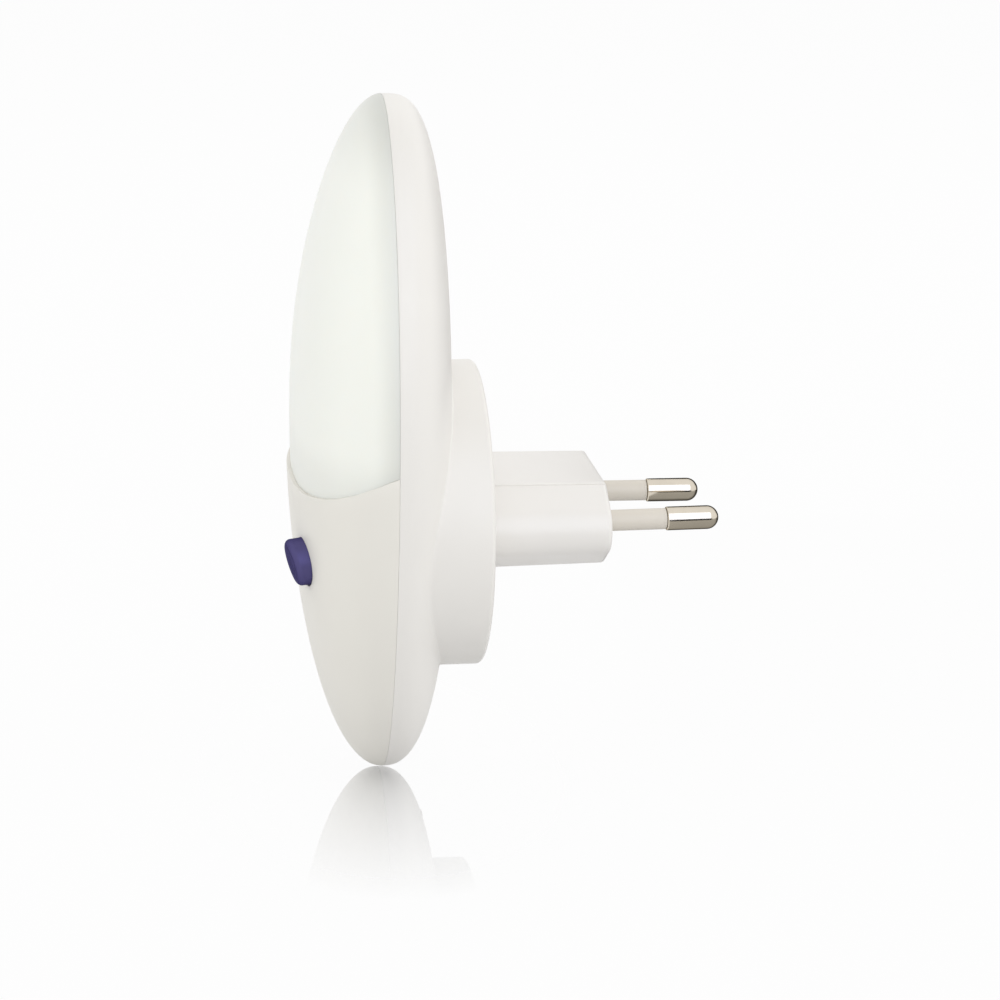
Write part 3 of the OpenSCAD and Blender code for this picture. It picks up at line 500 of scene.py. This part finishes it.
def moulded(name, colour, roughness=0.4, vary=0.02, grain=2500.0, depth=0.000012, subsurface=0.0, gloss=0.5):
    """Moulded plastic: faint cloudiness, fine grain and slightly uneven gloss."""
    material, tree, shader, place = new_material(name)
    cloud = noise(tree, place, 45.0, 3.0)
    tint = ramp(tree, cloud, [(0.3, shade(colour, 1 - vary)), (0.7, shade(colour, 1 + vary))])
    tree.links.new(tint, shader.inputs["Base Color"])
    wear = noise(tree, place, 160.0, 5.0, 0.6)
    low, high = (roughness - 0.05,) * 3, (roughness + 0.05,) * 3
    tree.links.new(ramp(tree, wear, [(0.3, low), (0.7, high)]), shader.inputs["Roughness"])
    tree.links.new(bump(tree, noise(tree, place, grain, 2.0), 0.35, depth), shader.inputs["Normal"])
    shader.inputs["IOR"].default_value = 1.46
    shader.inputs["Specular IOR Level"].default_value = gloss
    if subsurface:
        shader.inputs["Subsurface Weight"].default_value = subsurface
        shader.inputs["Subsurface Radius"].default_value = (1.0, 0.9, 0.8)
        shader.inputs["Subsurface Scale"].default_value = 0.002
    return material


def plated(name, colour, roughness=0.16, edge=(0.5, 0.48, 0.44)):
    """Plated metal: fine lengthwise scratches, faint stains and a darker look where it turns away."""
    material, tree, shader, place = new_material(name)
    stretch = tree.nodes.new("ShaderNodeMapping")
    stretch.inputs["Scale"].default_value = (0.08, 1.0, 1.0)
    tree.links.new(place, stretch.inputs["Vector"])
    lines = noise(tree, stretch.outputs["Vector"], 5000.0, 3.0)
    stain = noise(tree, place, 350.0, 4.0)
    tint = ramp(tree, stain, [(0.35, shade(colour, 0.93)), (0.65, colour)])
    tree.links.new(tint, shader.inputs["Base Color"])
    low, high = (roughness - 0.05,) * 3, (roughness + 0.08,) * 3
    tree.links.new(ramp(tree, stain, [(0.3, low), (0.75, high)]), shader.inputs["Roughness"])
    tree.links.new(bump(tree, lines, 0.2, 0.000004), shader.inputs["Normal"])
    shader.inputs["Metallic"].default_value = 1.0
    shader.inputs["Specular Tint"].default_value = (*edge, 1.0)
    return material


def pearly(name, colour):
    """Satin plastic with a pearly pigment, which glows where it faces the lamps and is dull edge on."""
    material = moulded(name, colour, 0.42, 0.04, gloss=0.0)
    shader = material.node_tree.nodes["Principled BSDF"]
    shader.inputs["Metallic"].default_value = 0.4
    shader.inputs["Specular Tint"].default_value = (0.1, 0.1, 0.1, 1.0)
    return material


def frosted_with_painted_shade(name, colour):
    """Frosted plastic with painted shade, slightly darker towards the seam, its top and its lower edge."""
    material = moulded(name, colour, 0.38, 0.008, subsurface=0.25)
    tree = material.node_tree
    shader = tree.nodes["Principled BSDF"]
    tint = shader.inputs["Base Color"].links[0].from_socket
    apart = tree.nodes.new("ShaderNodeSeparateXYZ")
    tree.links.new(tree.nodes["Texture Coordinate"].outputs["Object"], apart.inputs[0])
    top = WIDEST_LEVEL + TOP_RISE
    # Each band of painted shade darkens along an axis, from its start to its end, down to a share of the
    # colour
    painted_shade_bands = [
        ("X", FRONT_X - 4.5, FRONT_X, 0.83),
        ("Z", top - 14, top, 0.84),
        ("Z", EDGE_LEVEL + 11, EDGE_LEVEL + 3, 0.915),
    ]
    for axis, start, end, level in painted_shade_bands:
        band = tree.nodes.new("ShaderNodeMapRange")
        band.interpolation_type = "SMOOTHSTEP"
        band.inputs["From Min"].default_value = start * MM
        band.inputs["From Max"].default_value = end * MM
        band.inputs["To Min"].default_value = 1.0
        band.inputs["To Max"].default_value = level
        tree.links.new(apart.outputs[axis], band.inputs["Value"])
        mix = tree.nodes.new("ShaderNodeMix")
        mix.data_type = "RGBA"
        mix.blend_type = "MULTIPLY"
        mix.inputs["Factor"].default_value = 1.0
        tree.links.new(tint, mix.inputs[6])
        tree.links.new(band.outputs["Result"], mix.inputs[7])
        tint = mix.outputs[2]
    tree.links.new(tint, shader.inputs["Base Color"])
    return material


def laminate(name, colour):
    """Lacquered circuit board with faint copper tracks under the lacquer."""
    material, tree, shader, place = new_material(name)
    cells = tree.nodes.new("ShaderNodeTexBrick")
    cells.inputs["Scale"].default_value = 260.0
    cells.inputs["Color1"].default_value = (*colour, 1.0)
    cells.inputs["Color2"].default_value = (*shade(colour, 0.85), 1.0)
    cells.inputs["Mortar"].default_value = (*shade(colour, 1.5), 1.0)
    turn = tree.nodes.new("ShaderNodeMapping")
    turn.inputs["Rotation"].default_value = (0, math.pi / 2, 0)
    tree.links.new(place, turn.inputs["Vector"])
    tree.links.new(turn.outputs["Vector"], cells.inputs["Vector"])
    tree.links.new(cells.outputs["Color"], shader.inputs["Base Color"])
    tree.links.new(bump(tree, cells.outputs["Fac"], 0.3, 0.00003), shader.inputs["Normal"])
    shader.inputs["Roughness"].default_value = 0.3
    return material


# ---------------------------------------------------------------- pieces

# Rows of a front piece as shares of the way from its tip to its edge, closer together at the tip
SHARES = [0.004, 0.014] + list(np.linspace(0.03, 0.97, 54))


def edge_rows(past_sign, first, proud):
    """Rows of the rounded visible edge, from the skin to the edge's face."""
    rows = []
    for turn in np.radians([0, 30, 60, 90]):
        past = past_sign * (first + EDGE_ROUND * (1 - math.sin(turn)))
        rows.append((1.0, past, EDGE_ROUND * (1 - math.cos(turn)), proud))
    return rows


def make_diffuser(material):
    """Frosted upper front with its tongue behind the cover."""
    inner_inset = TONGUE_INSET + TONGUE_THICKNESS
    outer = [(s, EDGE_ROUND, 0, 0) for s in SHARES] + edge_rows(1, 0, 0)
    outer += [(1.0, past, TONGUE_INSET, COVER_PROUD) for past in (0, -TONGUE_LENGTH)]
    inner = [(s, EDGE_ROUND, WALL, 0) for s in SHARES]
    inner += [(1.0, past, WALL, 0) for past in PLAIN_LEVELS]
    inner += [(1.0, past, inner_inset, COVER_PROUD) for past in (*TONGUE_LEVELS, -TONGUE_LENGTH)]
    thing = mesh_object("frosted_diffuser", [front_piece(1, outer, inner)])
    finish_piece(thing, "housing", ["diffuser"], material)


def make_cover(material):
    """Lower front with the button's hole."""
    start = -EDGE_GAP - EDGE_ROUND
    outer = [(s, start, 0, COVER_PROUD) for s in SHARES] + edge_rows(-1, EDGE_GAP, COVER_PROUD)
    inner = [(s, start, WALL, COVER_PROUD) for s in SHARES]
    inner += [(1.0, start + EDGE_ROUND * k / 3, WALL, COVER_PROUD) for k in range(4)]
    thing = mesh_object("lower_cover", [front_piece(-1, outer, inner)])
    hole = BUTTON_RADIUS + BUTTON_GAP
    low, high = BUTTON_CUT
    cut(thing, [lathe([(0, low), (hole, low), (hole, high), (0, high)])], button_place())
    finish_piece(thing, "housing", ["front_cover"], material)


def make_back_shell(material):
    """Back shell with its boss and the recess of the case screw."""
    upright = Matrix.Translation(Vector((0, 0, SCREW_LEVEL)) * MM) @ Matrix.Rotation(math.pi / 2, 4, "Y")
    thing = mesh_object("rear_shell", [back_shell_shape()])
    recess = lathe([
        (0, SCREW_SEAT_X), (SCREW_RECESS, SCREW_SEAT_X), (SCREW_RECESS, SCREW_CUT_END), (0, SCREW_CUT_END),
    ])
    cut(thing, [recess], upright)
    skin_x = float(back_x(np.array(0.0), np.array(SCREW_LEVEL), WALL / 2))
    post = lathe([
        (SCREW_HOLE, SCREW_POST_X), (SCREW_POST, SCREW_POST_X), (SCREW_POST, skin_x),
        (SCREW_RECESS, skin_x), (SCREW_RECESS, SCREW_SEAT_X), (SCREW_HOLE, SCREW_SEAT_X),
    ])
    tube = mesh_object("case_screw_post", [post], upright)
    finish_piece(thing, "housing", ["back_shell"], material)
    finish_piece(tube, "housing", ["back_shell"], material)


def make_plug_body(material):
    """Six-sided plug body with a slight draft and a rounded end."""
    loops = [hexagon_loop(x, PLUG_DRAFT, PLUG_MOULD_LINE) for x in (PLUG_INNER_X, 0)]
    start = PLUG_LENGTH - PLUG_END_ROUND
    for turn in np.radians(np.linspace(0, 90, 7)):
        x = start + PLUG_END_ROUND * math.sin(turn)
        growth = -PLUG_END_ROUND * (1 - math.cos(turn))
        loops.append(hexagon_loop(x, growth, PLUG_MOULD_LINE))
    points, faces = loft(loops)
    count = len(loops[0])
    faces.append(tuple(range(count)))
    faces.append(tuple(range((len(loops) - 1) * count, len(loops) * count)))
    thing = mesh_object("plug_shell", [(points, faces)])
    finish_piece(thing, "housing", ["plug_body"], material)


def make_pin(side, label, metal, plastic):
    """A plated contact with a round tip, and its sleeve."""
    pin = [(0, PIN_ROOT), (PIN_CORE_RADIUS, PIN_ROOT), (PIN_CORE_RADIUS, SLEEVE_LENGTH)]
    pin += arc((PIN_RADIUS - SHOULDER_ROUND, SLEEVE_LENGTH + SHOULDER_ROUND), SHOULDER_ROUND, -90, 0, 4)
    pin += arc((0, PIN_LENGTH - PIN_RADIUS), PIN_RADIUS, 0, 90, 16)[:-1] + [(0, PIN_LENGTH)]
    contact = mesh_object(label + "_contact", [lathe(pin)], pin_place(side))
    finish_piece(contact, "housing", [label + "_pin"], metal)
    bore = PIN_CORE_RADIUS + SLEEVE_CLEARANCE
    end = SLEEVE_LENGTH - SLEEVE_END_GAP
    sleeve = [(bore, SLEEVE_ROOT), (SLEEVE_RADIUS, SLEEVE_ROOT)]
    sleeve += arc((SLEEVE_RADIUS - SLEEVE_END_ROUND, end - SLEEVE_END_ROUND), SLEEVE_END_ROUND, 0, 90, 4)
    sleeve += [(bore, end)]
    tube = mesh_object(label + "_sleeve", [lathe(sleeve)], pin_place(side))
    finish_piece(tube, "housing", [label + "_pin_sleeve"], plastic)


def make_button(material):
    """Button cap with a rounded rim and a crowned face that leans down against the cap's axis."""
    inner = BUTTON_RADIUS - BUTTON_TAPER - BUTTON_RIM
    face = arc((inner, -BUTTON_CROWN - BUTTON_RIM), BUTTON_RIM, 0, 90, 14)
    face += [(inner * share, -BUTTON_CROWN * share * share) for share in (0.8, 0.6, 0.4, 0.2)]
    face.append((0, 0))
    points, faces = lathe([(0, BUTTON_ROOT), (BUTTON_RADIUS, BUTTON_ROOT)] + face)
    lean, rise = math.cos(BUTTON_FACE_TILT), math.sin(BUTTON_FACE_TILT)
    cap = [
        p if p[2] == BUTTON_ROOT else
        (p[0] * lean - p[2] * rise, p[1], BUTTON_HEIGHT + p[0] * rise + p[2] * lean)
        for p in points
    ]
    thing = mesh_object("button_top", [(cap, faces)], button_place())
    finish_piece(thing, "button", ["button_cap"], material)


def dress_node(name, material):
    """Gives a carried-over CAD node its material."""
    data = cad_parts[name].data
    data.materials.clear()
    data.materials.append(material)


def dress_inner_nodes():
    """Materials of the pieces inside the case."""
    white = moulded("inner_white", (0.86, 0.86, 0.84), 0.5)
    plain = moulded("inner_plain", (0.72, 0.72, 0.68), 0.5)
    black = moulded("package_black", (0.03, 0.03, 0.033), 0.45, 0.1)
    resin = moulded("led_resin", (0.9, 0.82, 0.45), 0.2, 0.05, subsurface=0.3)
    steel = plated("zinc_plated", (0.62, 0.62, 0.65), 0.3)
    dress = {
        "pin_retainer": plain,
        "live_lead": moulded("live_insulation", (0.2, 0.07, 0.025), 0.45, 0.08),
        "neutral_lead": moulded("neutral_insulation", (0.02, 0.08, 0.35), 0.45, 0.08),
        "circuit_board": laminate("board_laminate", (0.02, 0.14, 0.055)),
        "reflector_plate": white,
        "mains_capacitor": moulded("film_yellow", (0.6, 0.36, 0.04), 0.35, 0.06),
        "smoothing_capacitor": moulded("can_sleeve", (0.02, 0.02, 0.035), 0.3, 0.1),
        "bridge_rectifier": black,
        "fuse_resistor": moulded("fuse_lacquer", (0.09, 0.22, 0.1), 0.35, 0.08),
        "small_resistors": moulded("resistor_lacquer", (0.5, 0.36, 0.17), 0.35, 0.08),
        "controller_chip": black,
        "switch_wedge": plain,
        "switch_body": black,
        "switch_plunger": white,
        "board_screws": steel,
        "case_screw": steel,
    }
    for row in ("lower", "upper"):
        for side in ("left", "right"):
            dress["led_" + row + "_" + side] = resin
    for name, material in dress.items():
        dress_node(name, material)


# ---------------------------------------------------------------- stage, light and camera

def calculate(tree, operation, first, second):
    """A Math node's result, from an output and either another output or a number."""
    node = tree.nodes.new("ShaderNodeMath")
    node.operation = operation
    tree.links.new(first, node.inputs[0])
    if isinstance(second, float):
        node.inputs[1].default_value = second
    else:
        tree.links.new(second, node.inputs[1])
    return node.outputs[0]


def mix_shaders(tree, share, first, second):
    """The first shader with a share of the second one."""
    mix = tree.nodes.new("ShaderNodeMixShader")
    tree.links.new(share, mix.inputs[0])
    tree.links.new(first, mix.inputs[1])
    tree.links.new(second, mix.inputs[2])
    return mix.outputs[0]


def show_white(tree, lit, share=1.0, white=None):
    """Mixes a white glow, or another shader, into a shader for camera, glossy and transmission rays."""
    path = tree.nodes.new("ShaderNodeLightPath")
    seen = path.outputs["Is Camera Ray"]
    for name in ("Is Glossy Ray", "Is Transmission Ray"):
        seen = calculate(tree, "MAXIMUM", seen, path.outputs[name])
    if white is None:
        glow = tree.nodes.new("ShaderNodeBackground")
        glow.inputs["Color"].default_value = (1, 1, 1, 1)
        white = glow.outputs[0]
    return mix_shaders(tree, calculate(tree, "MULTIPLY", seen, share), lit, white)


def fading_mirror(tree, place, centre, reach, strength):
    """White glow that turns into a mirror around the object's foot."""
    glow = tree.nodes.new("ShaderNodeEmission")
    glow.inputs["Color"].default_value = (1, 1, 1, 1)
    mirror = tree.nodes.new("ShaderNodeBsdfGlossy")
    mirror.inputs["Color"].default_value = (1, 1, 1, 1)
    mirror.inputs["Roughness"].default_value = 0.02
    move = tree.nodes.new("ShaderNodeMapping")
    move.vector_type = "TEXTURE"
    move.inputs["Location"].default_value = centre
    move.inputs["Scale"].default_value = reach
    tree.links.new(place, move.inputs["Vector"])
    fade = tree.nodes.new("ShaderNodeTexGradient")
    fade.gradient_type = "SPHERICAL"
    tree.links.new(move.outputs["Vector"], fade.inputs["Vector"])
    part = calculate(tree, "MULTIPLY", fade.outputs["Fac"], strength)
    return mix_shaders(tree, part, glow.outputs[0], mirror.outputs[0])


def make_floor():
    """Pale floor just under the light, with a mirror image that fades out round its foot."""
    level = cad_bounds[0][2] / MM - FLOOR_DROP
    reach = FLOOR_REACH
    points = [(-reach, -reach, level), (reach, -reach, level), (reach, reach, level), (-reach, reach, level)]
    floor = mesh_object("floor", [(points, [(0, 1, 2, 3)])])
    material, tree, shader, place = new_material("pale_floor")
    shader.inputs["Base Color"].default_value = (0.64, 0.64, 0.64, 1)
    shader.inputs["Roughness"].default_value = 0.6
    foot = (SEAM_X * MM, 0.0, level * MM)
    white = fading_mirror(tree, place, foot, MIRROR_REACH, MIRROR_STRENGTH)
    output = tree.nodes["Material Output"]
    tree.links.new(show_white(tree, shader.outputs[0], FLOOR_GLOW, white), output.inputs["Surface"])
    floor.data.materials.append(material)


def studio_card(name, points, faces, tint, stops):
    """A card of the studio that is seen only in gloss.

    Its glow follows stops of (metres along Y, strength).
    """
    card = mesh_object(name, [(points, faces)])
    material, tree, _, place = new_material(name)
    apart = tree.nodes.new("ShaderNodeSeparateXYZ")
    tree.links.new(place, apart.inputs[0])
    reach = tree.nodes.new("ShaderNodeMapRange")
    first, last = stops[0][0], stops[-1][0]
    reach.inputs["From Min"].default_value = first
    reach.inputs["From Max"].default_value = last
    tree.links.new(apart.outputs["Y"], reach.inputs["Value"])
    shares = [((at - first) / (last - first), (level,) * 3) for at, level in stops]
    glow = tree.nodes.new("ShaderNodeEmission")
    glow.inputs["Color"].default_value = (*tint, 1)
    tree.links.new(ramp(tree, reach.outputs["Result"], shares), glow.inputs["Strength"])
    tree.links.new(glow.outputs[0], tree.nodes["Material Output"].inputs["Surface"])
    card.data.materials.append(material)
    card.visible_camera = card.visible_diffuse = card.visible_transmission = card.visible_shadow = False


def make_cards():
    """Dim cards under and behind the pins for their dark undersides, and a bright one in front of them."""
    low = cad_bounds[0][2] / MM + 0.6
    edge, near, turn, far, side = 30.0, -330.0, 0.0, 150.0, 50.0
    reach = 300.0
    points = [
        (edge, near, 12.0), (edge + reach, near, 12.0), (edge, near, low), (edge + reach, near, low),
        (edge, turn, low), (edge + reach, turn, low), (side, far, low), (side + reach, far, low),
        (side, far, 110.0), (side + reach, far, 110.0),
    ]
    faces = [(0, 1, 3, 2), (2, 3, 5, 4), (4, 5, 7, 6), (6, 7, 9, 8)]
    stops = [(-0.331, 0.02), (-0.2, 0.02), (-0.185, 0.5), (0.0, 0.42), (0.03, 0.08), (0.15, 0.08)]
    studio_card("dim_card", points, faces, (1.0, 0.98, 0.93), stops)
    points = [(-60.0, -600.0, 25.0), (400.0, -600.0, 25.0), (400.0, -300.0, 560.0), (-60.0, -300.0, 560.0)]
    studio_card("bright_card", points, [(0, 1, 2, 3)], (1.7, 1.8, 2.1), [(-0.6, 1.0), (0.0, 1.0)])


def make_world():
    """White surroundings that light the object evenly."""
    world = bpy.data.worlds.new("studio")
    bpy.context.scene.world = world
    world.use_nodes = True
    tree = world.node_tree
    ground = tree.nodes["Background"]
    ground.inputs["Color"].default_value = (1, 1, 1, 1)
    ground.inputs["Strength"].default_value = 0.7
    output = tree.nodes["World Output"]
    tree.links.new(show_white(tree, ground.outputs[0]), output.inputs["Surface"])


def add_area(name, spot, size, power):
    """A soft lamp that faces the middle of the light, in metres."""
    data = bpy.data.lights.new(name, "AREA")
    data.shape = "RECTANGLE"
    data.size, data.size_y = size
    data.energy = power
    lamp = bpy.data.objects.new(name, data)
    lamp.location = spot
    lamp.rotation_euler = (Vector(LAMP_TARGET) - Vector(spot)).to_track_quat("-Z", "Y").to_euler()
    lamp.visible_glossy = False
    bpy.context.scene.collection.objects.link(lamp)


def make_lamps():
    """Soft light from all round."""
    add_area("front_near_softbox", (-0.3, -0.75, 0.3), (0.6, 0.6), 0.56)
    add_area("near_softbox", (0.05, -0.85, 0.25), (0.6, 0.6), 1.25)
    add_area("wall_side_softbox", (0.75, -0.25, 0.3), (0.6, 0.6), 2.2)
    add_area("front_softbox", (-0.8, -0.1, 0.25), (0.6, 0.6), 1.6)
    add_area("far_softbox", (0.1, 0.5, 0.6), (0.5, 0.5), 1.6)


def make_camera():
    """Camera at the photograph's place."""
    cy, sy = math.cos(CAMERA_YAW), math.sin(CAMERA_YAW)
    cd, sd = math.cos(CAMERA_DROP), math.sin(CAMERA_DROP)
    cr, sr = math.cos(CAMERA_ROLL), math.sin(CAMERA_ROLL)
    ahead = Vector((sy * cd, cy * cd, -sd))
    level = Vector((cy, -sy, 0))
    raised = Vector((sy * sd, cy * sd, cd))
    right = level * cr + raised * sr
    up = raised * cr - level * sr
    spot = (-ahead * CAMERA_DISTANCE - right * CAMERA_SIDE - up * CAMERA_RISE) * MM
    data = bpy.data.cameras.new("camera")
    data.sensor_width = SENSOR
    data.sensor_fit = "HORIZONTAL"
    data.lens = CAMERA_LENS
    data.clip_start, data.clip_end = 0.01, 20
    camera = bpy.data.objects.new("camera", data)
    camera.matrix_world = Matrix((
        (right.x, up.x, -ahead.x, spot.x),
        (right.y, up.y, -ahead.y, spot.y),
        (right.z, up.z, -ahead.z, spot.z),
        (0, 0, 0, 1),
    ))
    bpy.context.scene.collection.objects.link(camera)
    bpy.context.scene.camera = camera


# The diffuser's colour carries painted shade towards the seam, its top and its lower edge
make_diffuser(frosted_with_painted_shade("frosted_white", (0.875, 0.885, 0.828)))
make_cover(moulded("warm_grey_white", (0.77, 0.75, 0.695), 0.45, 0.01))
SHELL_PLASTIC = moulded("shell_white", (0.787, 0.768, 0.734), 0.45, 0.01)
make_back_shell(SHELL_PLASTIC)
make_plug_body(moulded("plug_white", (0.79, 0.77, 0.742), 0.38, 0.01))
NICKEL = plated("nickel", (0.75, 0.685, 0.58), 0.12, (0.36, 0.32, 0.26))
SLEEVE_PLASTIC = moulded("sleeve_white", (0.655, 0.613, 0.546), 0.5, 0.015)
make_pin(-1, "live", NICKEL, SLEEVE_PLASTIC)
make_pin(1, "neutral", NICKEL, SLEEVE_PLASTIC)
make_button(pearly("button_purple", (0.09, 0.08, 0.2)))
dress_inner_nodes()
make_floor()
make_cards()
make_world()
make_lamps()
make_camera()
bpy.context.scene.view_settings.view_transform = "Standard"
